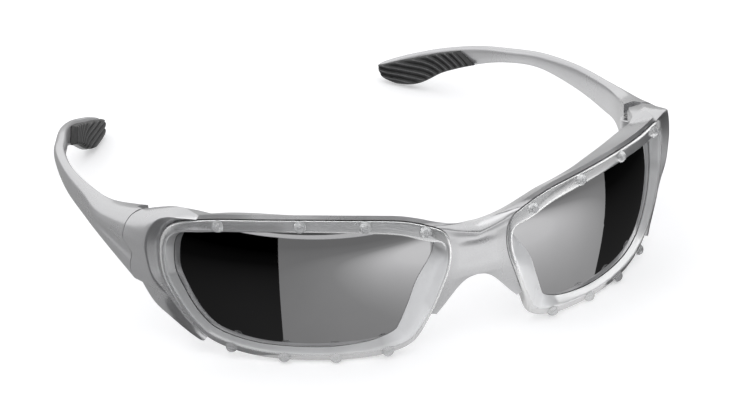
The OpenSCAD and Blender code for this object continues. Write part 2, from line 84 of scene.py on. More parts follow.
# Brow and bridge
BROW_RISE = 1.1         # rise over the upper edge of a rim
BROW_DEPTH = 7.2        # depth of the upper side
BROW_FALL = 3.0         # fall of the upper side towards the back
FACE_STEP = 0.7         # how far the rims stand proud of the front
BRIDGE_TOP = 8.8
ARCH_TOP = -4.5
BRIDGE_T = 5.0
BRIDGE_FALL = 0.32 * BRIDGE_T
LEDGE_W = 2.6           # ledge behind the rims
LEDGE_T = 1.2
SHOULDER = 3.2          # how far the shoulder stands out beside the rim

# Temples
SEAM_BACK = 9.12        # from the rim's outer side back to the joint
TEMPLE_L = 111.5
ROOT_H = 17.5
ROOT_T = 10.6
ARM_H = 3.9
ARM_T = 3.0
TIP_H = 8.9
TIP_T = 2.4
GROOVE_D = 1.4

# Pads
PAD_L = 32.0
PAD_T = 1.3
RIB_H = 0.5

# Hinges
HINGE_IN = 3.5          # distance of the axis inside the rim's outer side
HINGE_BACK = 1.9        # distance of the axis behind the joint
HINGE_Z = 4.6
KNUCKLE_D = 5.0
TONGUE_H = 3.4
FORK_H = 2.8
SCREW_D = 1.6

# Gaps round rims and lenses, round screws, and between front and temple
SEAT_GAP = 0.1
PIN_GAP = 0.05
JOINT_GAP = 0.35

CENTRE = np.array([CURVE_X, FACE_R - NOSE_REACH, CURVE_Z])
LENS_CENTRE = CENTRE + [LENS_OUT, 0, -LENS_DROP]
MM = 0.001


# Curves

def unit(v):
    return v / np.linalg.norm(v)


def mix(a, b, t):
    return a + (b - a) * t


def smooth(t):
    c = min(1.0, max(0.0, t))
    return c * c * (3 - 2 * c)


def window(u, start, end, fade):
    """0 outside start and end, and 1 between them once it has faded in at each."""
    return smooth((u - start) / fade) * smooth((end - u) / fade)


def bend(a, b, c, t):
    return mix(mix(a, b, t), mix(b, c, t), t)


def curl(a, b, c, d, t):
    return mix(bend(a, b, c, t), bend(b, c, d, t), t)


def through(points, t, closed=False):
    """Point at t on a smooth curve through points, where t counts the points."""
    n = len(points)
    i = math.floor(t) if closed else min(math.floor(t), n - 2)
    f = t - i
    if closed:
        a, b, c, d = (points[(i + k) % n] for k in (-1, 0, 1, 2))
    else:
        a, b, c, d = (points[max(0, min(n - 1, i + k))] for k in (-1, 0, 1, 2))
    return 0.5 * (2 * b + (c - a) * f + (2 * a - 5 * b + 4 * c - d) * f * f
                  + (3 * b - 3 * c + d - a) * f ** 3)


def spread(points, steps):
    """More points on the smooth curve through a list of arrays."""
    count = (len(points) - 1) * steps
    return [through(points, i / steps) for i in range(count)] + [points[-1]]


CORNER_STEPS = 4


def rounded(corners, radii):
    """A closed polygon with its corners rounded; every corner gives the same number of points."""
    out = []
    n = len(corners)
    most = 0.49         # of a side, so that the roundings at its ends don't meet
    for i, (corner, r) in enumerate(zip(corners, radii)):
        before, after = corners[i - 1] - corner, corners[(i + 1) % n] - corner
        la, lb = np.linalg.norm(before), np.linalg.norm(after)
        start = corner + before / la * min(r, most * la)
        end = corner + after / lb * min(r, most * lb)
        out += [bend(start, corner, end, k / CORNER_STEPS) for k in range(CORNER_STEPS + 1)]
    return out


# The outline of a rim, as shares of its width and height. It starts low beside the nose and
# goes up, over the brow, and back along the bottom.
RIM_SHAPE = np.array([
    [0.08, 0.25], [0.04, 0.41], [0.005, 0.57], [0, 0.71], [0.025, 0.80], [0.085, 0.86],
    [0.195, 0.925], [0.36, 0.968], [0.555, 0.997], [0.755, 1], [0.87, 0.98], [0.955, 0.93],
    [0.995, 0.81], [0.997, 0.60], [0.962, 0.425], [0.907, 0.255], [0.837, 0.127],
    [0.715, 0.05], [0.557, 0.015], [0.392, 0], [0.242, 0.006], [0.138, 0.07]])
RIM_N = len(RIM_SHAPE)
RIM_SIDE = 12.5         # where the outline is at its outer side
RIM_OUT = NOSE_GAP + RIM_W
TURN_FROM = NOSE_GAP + 0.7 * RIM_W
TURN_OVER = 0.28 * RIM_W


def edge(u):
    """Point of the rim's edge on the sphere."""
    s = through(RIM_SHAPE, u % RIM_N, True)
    x, z = NOSE_GAP + s[0] * RIM_W, RIM_LOW + s[1] * RIM_H
    dx, dz = x - CENTRE[0], z - CENTRE[2]
    return np.array([x, CENTRE[1] - math.sqrt(FACE_R ** 2 - dx * dx - dz * dz), z])


def inward(u, step=0.05):
    return unit(np.cross(edge(u + step) - edge(u - step), unit(edge(u) - CENTRE)))


def turn_back(out):
    """How far the front turns back from the sphere in a direction from its centre."""
    return SIDE_TURN * (max(0, CENTRE[0] + out[0] * FACE_R - TURN_FROM) / TURN_OVER) ** 2


def on_face(u, a, b):
    """Point a inwards from the rim's edge along the sphere and b out from its surface."""
    out = unit(edge(u) + a * inward(u) - CENTRE)
    return CENTRE + out * (FACE_R + b - turn_back(out))


def lens_reach(out, r):
    """Distance from the rim sphere's centre to a lens surface of radius r."""
    shift = LENS_CENTRE - CENTRE
    return out @ shift + math.sqrt((out @ shift) ** 2 - shift @ shift + r * r)


def lens_b(u, a, r):
    """Height of a lens surface of radius r over the rim's face in the same direction."""
    out = unit(edge(u) + a * inward(u) - CENTRE)
    return lens_reach(out, r) - FACE_R + turn_back(out)


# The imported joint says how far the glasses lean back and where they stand
SEAM_Y = edge(RIM_SIDE)[1] + SEAM_BACK
AXIS = np.array([RIM_OUT - HINGE_IN, SEAM_Y + HINGE_BACK, HINGE_Z])
hinge = next(j for j in frame["joints"] if j["name"] == "fold_left")
LEAN = math.atan2(hinge["axis"][1], hinge["axis"][2])
TURN = np.array([[1, 0, 0],
                 [0, math.cos(LEAN), math.sin(LEAN)],
                 [0, -math.sin(LEAN), math.cos(LEAN)]])
SHIFT = np.array(hinge["pos_m"]) / MM - TURN @ AXIS


def seated(points):
    """Points as worn, in millimetres, to metres on the table."""
    return (np.asarray(points, float) @ TURN.T + SHIFT) * MM


# Width of a rim's clear band at each point of its outline
BANDS = ([BAND_NOSE] * 3
         + [BAND_NOSE * 1.3, BAND_TOP, BAND_TOP * 1.25, BAND_TOP * 1.15, BAND_TOP * 1.05]
         + [BAND_TOP] * 3 + [mix(BAND_TOP, BAND_SIDE, 0.5)]
         + [BAND_SIDE] * 4 + [BAND_LOW] * 5 + [mix(BAND_LOW, BAND_NOSE, 0.4)])

# Where along the outline the nose slope is widest, and how far it fades on either side
SLOPE_AT = 0.7
SLOPE_UP, SLOPE_ALONG = 3, 4.3
# Where other forms of a rim start and end along the outline, and how far they fade in
TOP_SLOPE_SPAN = (3.5, 12, 2)
TUCK_SPAN = (3, 11.6, 2)
BELLY_SPAN = (15.9, 21.9, 1.2)
CLEAR_SPAN = (3, 11.8, 1)
# Radii of a section's corners
LIP_ROUND = 0.15
BRIM_ROUND = 0.02
FOOT_ROUND = 0.12
BELLY_ROUND = 1.4


def slope_at(u):
    """The nose slope fades faster up the nose than along the rim's lower side."""
    past = (u - SLOPE_AT + RIM_N / 2) % RIM_N - RIM_N / 2
    faded = past / SLOPE_UP if past > 0 else -past / SLOPE_ALONG
    return LEAST_SLOPE + NOSE_SLOPE * smooth(1 - faded) + TOP_SLOPE * window(u, *TOP_SLOPE_SPAN)


def rim_back(u):
    return lens_b(u, RIM_WALL, LENS_R - LENS_T) - BEHIND_LENS


def rim_tuck(u):
    return BROW_TUCK * window(u, *TUCK_SPAN)


def rim_bulge(u):
    return RIM_BELLY * window(u, *BELLY_SPAN)


def rim_section(u):
    """Section of a rim: the lip beside the lens, the brim over its edge, the foot of the inner
    wall, the band's inner and outer edge, the belly outside and the back."""
    band, tuck, rear = through(BANDS, u % RIM_N, True), rim_tuck(u), rim_back(u)
    lip, brim, foot = RIM_WALL + tuck, RIM_WALL + LENS_TUCK * tuck, band + slope_at(u)
    corners = [np.array(c) for c in (
        (lip, rear), (brim, lens_b(u, brim, LENS_R) + SEAT_GAP),
        (foot, lens_b(u, foot, LENS_R) + SEAT_GAP), (band, 0), (0, 0),
        (0.5 * tuck - rim_bulge(u), 0.5 * rear), (tuck, rear))]
    r = min(RIM_ROUND, band * 0.45)
    radii = (LIP_ROUND, BRIM_ROUND, FOOT_ROUND, r, r, BELLY_ROUND, LIP_ROUND)
    return [on_face(u, a, b) for a, b in rounded(corners, radii)]


# A section's points on the wall between the foot's corner and the band's
FOOT_FIRST, BAND_FIRST = 2 * (CORNER_STEPS + 1), 3 * (CORNER_STEPS + 1)
WALL_SPOTS = range(FOOT_FIRST + CORNER_STEPS // 2, BAND_FIRST + CORNER_STEPS // 2 + 1)


# Meshes

def make(name, points, faces, sharp=38):
    """An object whose edges over so many degrees are sharp; None leaves them all smooth."""
    mesh = bpy.data.meshes.new(name)
    mesh.from_pydata([tuple(p) for p in points], [], [tuple(f) for f in faces])
    mesh.validate()
    mesh.shade_smooth()
    if sharp:
        mesh.set_sharp_from_angle(angle=math.radians(sharp))
    obj = bpy.data.objects.new(name, mesh)
    scene.collection.objects.link(obj)
    return obj


def loft(sections, ring=False):
    """Points and faces of a skin through equal sections; open ends get a fan."""
    n, m = len(sections), len(sections[0])
    points = [p for s in sections for p in s]
    faces = []
    for i in range(n if ring else n - 1):
        for j in range(m):
            a, b = i * m + j, i * m + (j + 1) % m
            faces.append((a, b, (b + m) % (n * m), (a + m) % (n * m)))
    if not ring:
        for i, flip in ((0, True), (n - 1, False)):
            middle = len(points)
            points.append(np.mean(sections[i], axis=0))
            for j in range(m):
                k = (j + 1) % m
                pair = (i * m + k, i * m + j) if flip else (i * m + j, i * m + k)
                faces.append((middle,) + pair)
    return points, faces


def flipped(faces):
    return [tuple(reversed(f)) for f in faces]


def mirrored(points):
    return [p * (-1, 1, 1) for p in points]


def finish(obj, mat, body, node):
    obj.data.materials.clear()
    obj.data.materials.append(mat)
    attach(obj, body)
    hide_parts(node)


def both_sides(name, body, points, faces, mat, slot, sharp=38):
    """The left piece and its mirror image on the right, standing for the CAD nodes."""
    out = []
    for side, side_points, side_faces in (("left", points, faces),
                                          ("right", mirrored(points), flipped(faces))):
        obj = make(f"{name}_{side}_skin", seated(side_points), side_faces, sharp)
        finish(obj, mat, body.format(side), f"{name}_{side}")
        out.append(obj)
    return out


def mark_points(obj, name, values):
    """Gives the mesh's first points a value that a material reads, and the others 0."""
    mark = obj.data.attributes.new(name, "FLOAT", "POINT")
    mark.data.foreach_set("value", values + [0] * (len(obj.data.vertices) - len(values)))


def tube(centre, radius, low, high, steps=64):
    """A round bar along Z with a small chamfer: points and faces as worn."""
    chamfer = 0.15
    rings = [(radius - chamfer, low), (radius, low + chamfer),
             (radius, high - chamfer), (radius - chamfer, high)]
    turns = [2 * math.pi * k / steps for k in range(steps)]
    return loft([[centre + (r * math.cos(t), r * math.sin(t), z) for t in turns]
                 for r, z in rings])


def block(low, high):
    x, y, z = zip(low, high)
    points = [np.array([x[i], y[j], z[k]], float)
              for i in (0, 1) for j in (0, 1) for k in (0, 1)]
    faces = [(0, 1, 3, 2), (4, 6, 7, 5), (0, 4, 5, 1), (2, 3, 7, 6), (0, 2, 6, 4), (1, 5, 7, 3)]
    return points, faces


def combine(shape, steps):
    """Adds ('UNION') or cuts ('DIFFERENCE') other shapes; all are pairs of points and faces."""
    obj = make("shape", *shape, sharp=None)
    helpers = []
    for how, other in steps:
        helper = make("helper", *other, sharp=None)
        helpers.append(helper)
        mod = obj.modifiers.new(how, "BOOLEAN")
        mod.operation, mod.solver, mod.object = how, "EXACT", helper
    bpy.context.view_layer.update()
    done = obj.evaluated_get(bpy.context.evaluated_depsgraph_get()).to_mesh()
    points = [np.array(v.co) for v in done.vertices]
    faces = [tuple(p.vertices) for p in done.polygons]
    for gone in helpers + [obj]:
        mesh = gone.data
        bpy.data.objects.remove(gone)
        bpy.data.meshes.remove(mesh)
    return points, faces


# Materials

NOISE_LOW, NOISE_HIGH = 0.3, 0.7        # most of a noise lies between these
NEUTRAL = (1, 1, 1)
COOL = (0.985, 0.985, 1.0)
ICE = (0.99, 0.995, 1.0)
VIOLET = (0.99, 0.985, 1.0)
SLATE = (0.98, 0.98, 1.0)

# Sockets of a Mix node that mixes colours
MIX_FACTOR, MIX_A, MIX_B, MIX_RESULT = 0, 6, 7, 2


def material(name, **sockets):
    mat = bpy.data.materials.new(name)
    mat.use_nodes = True
    shader = mat.node_tree.nodes["Principled BSDF"]
    for key, value in sockets.items():
        shader.inputs[key.replace("_", " ")].default_value = value
    return mat, mat.node_tree, shader


def noise(tree, scale, detail):
    coords = tree.nodes.new("ShaderNodeTexCoord")
    node = tree.nodes.new("ShaderNodeTexNoise")
    node.inputs["Scale"].default_value = scale
    node.inputs["Detail"].default_value = detail
    tree.links.new(coords.outputs["Object"], node.inputs["Vector"])
    return node.outputs["Fac"]


def attribute(tree, name):
    node = tree.nodes.new("ShaderNodeAttribute")
    node.attribute_name = name
    return node.outputs["Fac"]


def ramp(tree, value, stops):
    node = tree.nodes.new("ShaderNodeValToRGB")
    while len(node.color_ramp.elements) < len(stops):
        node.color_ramp.elements.new(0.5)
    for element, (at, colour) in zip(node.color_ramp.elements, stops):
        element.position = at
        element.color = (*colour, 1)
    tree.links.new(value, node.inputs["Fac"])
    return node.outputs["Color"]


def grey(v, tint=NEUTRAL):
    return tuple(v * c for c in tint)


def tones(tree, value, low, high):
    """A colour that goes from one to another with a noise."""
    return ramp(tree, value, [(NOISE_LOW, low), (NOISE_HIGH, high)])


def span(tree, value, low, high, from_low=NOISE_LOW, from_high=NOISE_HIGH):
    node = tree.nodes.new("ShaderNodeMapRange")
    for key, v in (("From Min", from_low), ("From Max", from_high),
                   ("To Min", low), ("To Max", high)):
        node.inputs[key].default_value = v
    tree.links.new(value, node.inputs["Value"])
    return node.outputs["Result"]


def add_up(tree, first, second, clamped=False):
    node = tree.nodes.new("ShaderNodeMath")
    node.operation, node.use_clamp = "ADD", clamped
    tree.links.new(first, node.inputs[0])
    tree.links.new(second, node.inputs[1])
    return node.outputs["Value"]


def bump(tree, shader, value, strength, distance):
    node = tree.nodes.new("ShaderNodeBump")
    node.inputs["Strength"].default_value = strength
    node.inputs["Distance"].default_value = distance
    tree.links.new(value, node.inputs["Height"])
    tree.links.new(node.outputs["Normal"], shader.inputs["Normal"])


def silver_paint():
    mat, tree, shader = material("silver_paint", Metallic=0.8, Coat_Weight=0.6,
                                 Coat_Roughness=0.07)
    flakes = noise(tree, 5200, 2)
    cloud = noise(tree, 90, 4)
    tree.links.new(tones(tree, flakes, grey(0.57, COOL), grey(0.64, COOL)),
                   shader.inputs["Base Color"])
    tree.links.new(span(tree, cloud, 0.26, 0.32), shader.inputs["Roughness"])
    bump(tree, shader, flakes, 0.05, 0.00002)
    return mat


def clear_plastic(name, haze, low, high, frosted=False):
    """Clear moulded plastic, with matt faces where the mesh's frost attribute says so."""
    mat, tree, shader = material(name, IOR=1.49, Transmission_Weight=1 - haze)
    cloud = noise(tree, 160, 3)
    tree.links.new(tones(tree, cloud, grey(0.91, ICE), grey(0.97, ICE)),
                   shader.inputs["Base Color"])
    roughness = span(tree, cloud, low, high)
    if frosted:
        frost = attribute(tree, "frost")
        tree.links.new(span(tree, frost, 1 - haze, 0.3, 0, 1),
                       shader.inputs["Transmission Weight"])
        roughness = add_up(tree, roughness, span(tree, frost, 0, 0.1, 0, 1))
    tree.links.new(roughness, shader.inputs["Roughness"])
    bump(tree, shader, noise(tree, 300, 2), 0.02, 0.00004)
    return mat


def lens_mirror():
    mat, tree, shader = material("lens_mirror", Metallic=1.0)
    cloud = noise(tree, 60, 3)
    tree.links.new(tones(tree, cloud, grey(0.41, COOL), grey(0.44, VIOLET)),
                   shader.inputs["Base Color"])
    tree.links.new(span(tree, cloud, 0.015, 0.03), shader.inputs["Roughness"])
    return mat


def pad_rubber():
    """Black rubber, with a highlight painted in a lighter colour along the rib edges, where the
    mesh's attribute for it says so.
    """
    mat, tree, shader = material("pad_rubber", Specular_IOR_Level=0.45)
    grain = noise(tree, 3000, 4)
    cloud = noise(tree, 900, 4)
    # Painted highlight: a lighter colour on the rib edges stands in for light catching them
    painted_highlight = tree.nodes.new("ShaderNodeMix")
    painted_highlight.data_type = "RGBA"
    tree.links.new(span(tree, attribute(tree, "rib_painted_highlight"), 0, 0.75, 0.1, 1),
                   painted_highlight.inputs[MIX_FACTOR])
    tree.links.new(ramp(tree, cloud, [(NOISE_LOW, grey(0.008)), (0.72, grey(0.022, SLATE))]),
                   painted_highlight.inputs[MIX_A])
    tree.links.new(tones(tree, grain, grey(0.09), grey(0.24, SLATE)), painted_highlight.inputs[MIX_B])
    tree.links.new(painted_highlight.outputs[MIX_RESULT], shader.inputs["Base Color"])
    tree.links.new(span(tree, grain, 0.3, 0.48), shader.inputs["Roughness"])
    bump(tree, shader, grain, 0.4, 0.00005)
    return mat


def screw_steel():
    mat, tree, shader = material("screw_steel", Metallic=1.0)
    grain = noise(tree, 2600, 3)
    tree.links.new(tones(tree, grain, grey(0.36), grey(0.52)), shader.inputs["Base Color"])
    tree.links.new(span(tree, grain, 0.22, 0.38), shader.inputs["Roughness"])
    return mat


silver = silver_paint()
clear = clear_plastic("clear_plastic", 0.18, 0.13, 0.19, frosted=True)
glass = clear_plastic("stud_clear", 0.22, 0.06, 0.1)
mirror = lens_mirror()
rubber = pad_rubber()
steel = screw_steel()

# Rims
RIM_STEPS = 264
rim_stations = [i * RIM_N / RIM_STEPS for i in range(RIM_STEPS)]
WALL_FROST = 0.35       # how matt the wall inside a rim is, but under the brow
# A wall that slopes in further than this is more matt, and fully matt that much further in
FROST_FROM, FROST_OVER = 0.6, 2.4


def frost_at(u):
    """The wall inside the rim is matt, most of all on the nose slope, and clear under the brow."""
    return max(WALL_FROST * (1 - window(u, *CLEAR_SPAN)),
               smooth((slope_at(u) - FROST_FROM) / FROST_OVER))


rim_sections = [rim_section(u) for u in rim_stations]
frosts = [frost_at(u) if j in WALL_SPOTS else 0
          for u in rim_stations for j in range(len(rim_sections[0]))]
for rim in both_sides("rim", "front", *loft(rim_sections, ring=True), clear, "clear_rims"):
    mark_points(rim, "frost", frosts)


# Lenses: rings of points shrinking from the rim to the middle, on both spheres

def lens_rays(tuck_share):
    """Directions from the rim sphere's centre to the edge of a lens."""
    return [unit(on_face(u, RIM_WALL + tuck_share * rim_tuck(u) + SEAT_GAP, 0) - CENTRE)
            for u in rim_stations]


def lens_ring(middle, rays, share, r):
    """The edge's points on a lens surface of radius r, drawn in towards its middle."""
    directions = [unit(mix(middle, ray, share)) for ray in rays]
    return [CENTRE + out * lens_reach(out, r) for out in directions]


def lens_shape():
    rings = 24
    back_rays, front_rays = lens_rays(1), lens_rays(LENS_TUCK)
    middle = unit(np.mean(back_rays, axis=0))
    sections = [lens_ring(middle, back_rays, k / rings, LENS_R - LENS_T)
                for k in range(1, rings + 1)]
    sections += [lens_ring(middle, front_rays, k / rings, LENS_R) for k in range(rings, 0, -1)]
    points, faces = loft(sections)
    return points, flipped(faces)


both_sides("lens", "front", *lens_shape(), mirror, "mirror_lenses")

# Section of a temple at the joint, as shares of its half thickness and half height. The outer
# side comes first, from the top down, and then the inner side from the bottom up.
HALF_W, HALF_H = ROOT_T / 2, ROOT_H / 2
ROOT_OUT = np.array([
    [-0.09, 1], [0.36, 0.91], [0.65, 0.75], [0.81, 0.56], [0.9, 0.28],
    [0.85 - GROOVE_D / HALF_W, -0.166], [0.68, -0.43], [0.7, -0.657], [0.58, -0.9], [0.28, -1]])
ROOT_IN = np.array([
    [-0.66, -0.98], [-0.9, -0.9], [-0.99, -0.71], [-1, -0.486], [-1, -0.2],
    [-1, 0.2], [-1, 0.486], [-1, 0.71], [-0.98, 0.87], [-0.9, 0.96]])


def side_point(x, y, z):
    """Shares of the way out to the rim's side, of the way from the joint to it, and up."""
    return np.array([x * RIM_OUT, SEAM_Y - y * SEAM_BACK, z * ROOT_H])


def root_point(p):
    return side_point(1.001, 0, 0.271) + (p[0] * HALF_W, 0, p[1] * HALF_H)


# Half of the front frame: a row of stations along the rim, from the end of the nose wall up
# beside the nose, over the brow, back to the temple joint and down to the tip under the rim.
# The runs of stations meet at these places along the outline.
BRIDGE_FROM, BRIDGE_TO = 1.35, 4.75
RISE_TO = 5.5
BROW_TO = 10.1
CREST_TO = 11.1
JOINT_TO = 13.9
LOWER_TO = 15.75

ARCH = [np.array(p) for p in (
    (0, ARCH_TOP), (0.58 * NOSE_GAP, ARCH_TOP), (0.9 * NOSE_GAP, 2 * ARCH_TOP),
    (1.46 * NOSE_GAP, 0.577 * RIM_LOW))]
# Middle of the bridge from below: place along the rim, level as a share, and how far the
# front stands out as a share of the thickness
BRIDGE = [
    (BRIDGE_FROM, 0, 0.2), (1.65, 0.18, 0.26), (2.1, 0.37, 0.25), (2.6, 0.56, 0.24),
    (3, 0.66, 0.2), (3.4, 0.735, 0.25), (3.75, 0.79, 0.52), (4.1, 0.84, 0.66),
    (4.45, 0.955, 0.5), (BRIDGE_TO, 1, 0.22)]
# From the bridge up to the brow
RISE_START = np.array([0, -0.22 * BRIDGE_T, BRIDGE_TOP])
RISE_BY = np.array([0.83 * NOSE_GAP, -0.36 * BRIDGE_T, 1.02 * BRIDGE_TOP])
# Depth and fall of the brow from the nose to the temple, as shares of the largest
BROW_DEPTHS = [0.93, 0.9, 0.83, 1, 0.97, 0.85, 0.8]
BROW_FALLS = [1, 1.05, 0.97, 1, 0.77, 0.65, 0.6]
BROW_FIRST = 5
# Crest of the end piece from the brow back to the joint, and the rear edge under it
CREST = [side_point(0.897, 1.38, 0.937), side_point(0.92, 0.965, 0.914),
         side_point(0.954, 0.482, 0.851), root_point(ROOT_OUT[0])]
CREST_REAR = [side_point(0.848, 1.24, 0.846), side_point(0.873, 0.877, 0.834),
              side_point(0.897, 0.439, 0.806), root_point(ROOT_IN[-1])]
# Lower edge of the end piece from the joint to the tip under the rim
LOWER = [side_point(1.001, 0.471, -0.48), side_point(0.96, 0.833, -0.68),
         side_point(0.922, 1.162, -0.846), side_point(0.891, 1.458, -0.949),
         side_point(0.878, 1.513, -0.949)]
# How far the shoulder is formed along the crest, down the joint and along the lower edge
CREST_FORMED = [0.3, 0.55, 0.8, 1]
JOINT_FORMED = [1, 1, 1, 0.97, 0.9, 0.8, 0.68, 0.55, 0.45]
LOWER_FORMED = (0.45, 0.08)


def station(u, front, rear, formed=0.0):
    """Place along the rim, outer front edge, outer rear edge, and how far the shoulder is
    formed there."""
    return np.concatenate([[u], front, rear, [formed]])


def arch_run():
    run = []
    for t in (1, 0.8, 0.6, 0.4, 0.2):
        x, z = curl(*ARCH, t)
        front = np.array([x, mix(-0.2, 0.04, t) * BRIDGE_T, z])
        run.append(station(BRIDGE_FROM * (1 - t), front,
                           front + (0.16 * t * BRIDGE_T, BRIDGE_T, 0)))
    return run


def bridge_run():
    run = []
    for u, share, out in BRIDGE:
        z = mix(ARCH_TOP, BRIDGE_TOP, share)
        run.append(station(u, (0, -out * BRIDGE_T, z),
                           (0, 0.76 * BRIDGE_T, z - BRIDGE_FALL * share)))
    return run


def brow_edge(u):
    return on_face(u, -BROW_RISE, -FACE_STEP - SEAT_GAP)


def rise_run():
    run = []
    for t in (0.22, 0.42, 0.6, 0.8):
        front = bend(RISE_START, RISE_BY, brow_edge(RISE_TO), t)
        rear = front + (0, mix(BRIDGE_T, 0.91 * BROW_DEPTH, t), -mix(BRIDGE_FALL, BROW_FALL, t))
        run.append(station(mix(BRIDGE_TO, RISE_TO, t * t), front, rear))
    return run


def brow_run():
    run = []
    steps = 8
    for i in range(steps + 1):
        u = mix(RISE_TO, BROW_TO, i / steps)
        front = brow_edge(u)
        back = unit(np.array([CENTRE[0] - front[0], CENTRE[1] - front[1], 0]))
        depth = BROW_DEPTH * through(BROW_DEPTHS, u - BROW_FIRST)
        fall = BROW_FALL * through(BROW_FALLS, u - BROW_FIRST)
        run.append(station(u, front, front + back * depth - np.array([0, 0, fall])))
    return run


def crest_run():
    n = len(CREST)
    return [station(mix(BROW_TO, CREST_TO, (i + 1) / n), CREST[i], CREST_REAR[i],
                    CREST_FORMED[i]) for i in range(n)]


def joint_run():
    n = len(JOINT_FORMED)
    return [station(mix(CREST_TO, JOINT_TO, i / n), root_point(ROOT_OUT[i]),
                    root_point(ROOT_IN[n - i]), JOINT_FORMED[i - 1]) for i in range(1, n + 1)]


def lower_run():
    """The rear edge moves in from behind the joint to the ledge behind the rim."""
    run = []
    n = len(LOWER)
    for i, front in enumerate(LOWER):
        u = mix(JOINT_TO, LOWER_TO, (i + 1) / n)
        ledge = rim_back(u) - SEAT_GAP - LEDGE_T
        wide = mix(front, on_face(u, LEDGE_W, ledge), 0.5) + (0, 0.6 * LEDGE_T, 0)
        run.append(station(u, front, mix(wide, on_face(u, -LEDGE_T, ledge), smooth(i / 3)),
                           mix(*LOWER_FORMED, (i + 1) / n)))
    return run


def front_stations(more):
    """The runs, with more stations on a smooth curve through each of them."""
    arch, bridge, rise, brow = arch_run(), bridge_run(), rise_run(), brow_run()
    crest, joint, lower = crest_run(), joint_run(), lower_run()
    runs = [arch + bridge[:1], bridge, bridge[-1:] + rise + brow, brow[-1:] + crest,
            crest[-1:] + joint, joint[-1:] + lower]
    rows = [row for run in runs for row in spread(run, more)[:-1]]
    return rows + [lower[-1]]


def front_section(row):
    """From the ledge behind the rim round its edge, over the face and back. Where the shoulder
    is formed, the face is creased at a corner that stands out."""
    u, front, rear, formed = row[0], row[1:4], row[4:7], row[7]
    ledge, tuck = rim_back(u) - SEAT_GAP, rim_tuck(u)
    rim_side = on_face(u, -SEAT_GAP, -FACE_STEP)
    inner = on_face(u, tuck + LEDGE_W, ledge - LEDGE_T)
    if formed < 0.001:
        corner = mix(rim_side, front, 0.5)
        near_nose = max(0.0, 1 - front[0] / (0.8 * NOSE_GAP))
        corner[1] = mix(corner[1], front[1], 0.9 * near_nose)
    else:
        corner = on_face(u, -0.7 * SHOULDER * formed, 0.68 * SHOULDER * formed)
    # How sharply the face turns at the corner, and how near to it the turn starts
    sharp = 0.25 + 0.6 * smooth(2 * formed - 0.6)
    near = mix(0.5, 0.88, sharp)
    start, end = mix(rim_side, corner, near), mix(front, corner, near)
    top = mix(bend(rim_side, corner, front, 0.5), corner, sharp)
    pull = 2 * top - 0.5 * (start + end)
    return ([inner, on_face(u, tuck + LEDGE_W, ledge), on_face(u, tuck - SEAT_GAP, ledge),
             rim_side, mix(rim_side, start, 0.5), start]
            + [bend(start, pull, end, t / 10) for t in range(1, 10)]
            + [end, mix(end, front, 0.6), front]
            + [mix(front, rear, t) for t in (0.33, 0.67)] + [rear]
            + [mix(rear, inner, t) for t in (0.35, 0.7)])


# Clearance round a knuckle, and where the outer knuckles start and end over the middle
SWEEP = KNUCKLE_D / 2 + JOINT_GAP
FORK_IN = TONGUE_H / 2 + JOINT_GAP
FORK_OUT = FORK_IN + FORK_H


def front_half():
    """The left half with the middle knuckle and its web, and the hole for the screw."""
    web, inset, past_front, past_screw = 3, 0.2, 30, 8
    shape = loft([front_section(r) for r in front_stations(5)])
    low, high = -TONGUE_H / 2, TONGUE_H / 2
    lug = block(AXIS + (-KNUCKLE_D / 2 + inset, -HINGE_BACK - web, low),
                AXIS + (KNUCKLE_D / 2 - inset, 0, high))
    hole = tube(AXIS, SCREW_D / 2 + PIN_GAP, -past_screw, past_screw, 32)
    return combine(shape, [("DIFFERENCE", tube(AXIS, SWEEP, -past_front, past_front)),
                           ("UNION", lug), ("UNION", tube(AXIS, KNUCKLE_D / 2, low, high)),
                           ("DIFFERENCE", hole)])


def joined_halves(points, faces):
    """Both halves as one skin: the faces between them go, and their seam is shared."""
    middle = {i for i, p in enumerate(points) if abs(p[0]) < 1e-4}
    faces = [f for f in faces if not all(i in middle for i in f)]
    count = len(points)
    other = {i: i if i in middle else i + count for i in range(count)}
    return (list(points) + mirrored(points),
            faces + [tuple(other[i] for i in f) for f in flipped(faces)])


def without_loose(points, faces):
    used = sorted({i for f in faces for i in f})
    new = {old: i for i, old in enumerate(used)}
    return [points[i] for i in used], [tuple(new[i] for i in f) for f in faces]


front_points, front_faces = without_loose(*joined_halves(*front_half()))
front_skin = make("front_frame_skin", seated(front_points), front_faces, sharp=40)
finish(front_skin, silver, "front", "front_frame")

# Temples: the middle line from the joint to the end, as side points with their place along the
# temple between, and the height and thickness at each of its points
TEMPLE_PATH = np.array([
    [1.001, 0, 0.271], [1.056, 0.138, 0.36], [1.066, 0.247, 0.394], [1.063, 0.39, 0.449],
    [1.027, 0.528, 0.491], [0.972, 0.631, 0.44], [0.909, 0.738, 0.314], [0.823, 0.849, 0.097],
    [0.735, 0.925, -0.126], [0.648, 1, -0.211]])
TEMPLE_H = [ROOT_H, mix(ARM_H, ROOT_H, 0.39), mix(ARM_H, ROOT_H, 0.28), mix(ARM_H, ROOT_H, 0.17),
            mix(ARM_H, ROOT_H, 0.02), ARM_H, mix(ARM_H, TIP_H, 0.26), mix(ARM_H, TIP_H, 0.6),
            TIP_H, 0.58 * TIP_H]
TEMPLE_T = [ROOT_T, mix(ARM_T, ROOT_T, 0.43), mix(ARM_T, ROOT_T, 0.12), ARM_T, ARM_T, ARM_T,
            mix(ARM_T, TIP_T, 0.7), TIP_T, TIP_T, TIP_T]
PATH_N = len(TEMPLE_PATH) - 1
TIP_ROUND = 0.6         # how much of the path the rounded end takes
TIP_CUT = 0.98          # at 1 it would close to nothing


def path_point(t):
    x, y, z = through(TEMPLE_PATH, t)
    return side_point(x, 0, z) + (0, JOINT_GAP + y * TEMPLE_L, 0)


